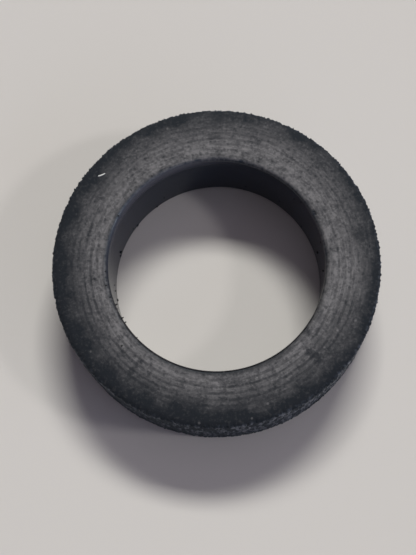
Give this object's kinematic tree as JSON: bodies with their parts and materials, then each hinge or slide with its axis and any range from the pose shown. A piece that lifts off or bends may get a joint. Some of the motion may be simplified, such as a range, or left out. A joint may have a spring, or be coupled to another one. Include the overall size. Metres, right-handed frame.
{
  "type": "sealing ring",
  "caption": "Thick round rubber sealing ring with a smooth bore, broken edges and fine tool rings in its worn grey end face; seals and spaces a shaft or joint.",
  "frame": {"origin": "centre of the flat foot, on the ring's axis", "axes": "+Z along the ring's axis, out of the end face with the tool rings; X and Y are equal"},
  "size_m": [0.03, 0.03, 0.008],
  "materials": {
    "rubber": "matt black, chalky grey where the end face is worn, satin in the bore"
  },
  "bodies": {
    "root": {"sealing_ring": "rubber"}
  },
  "joints": []
}
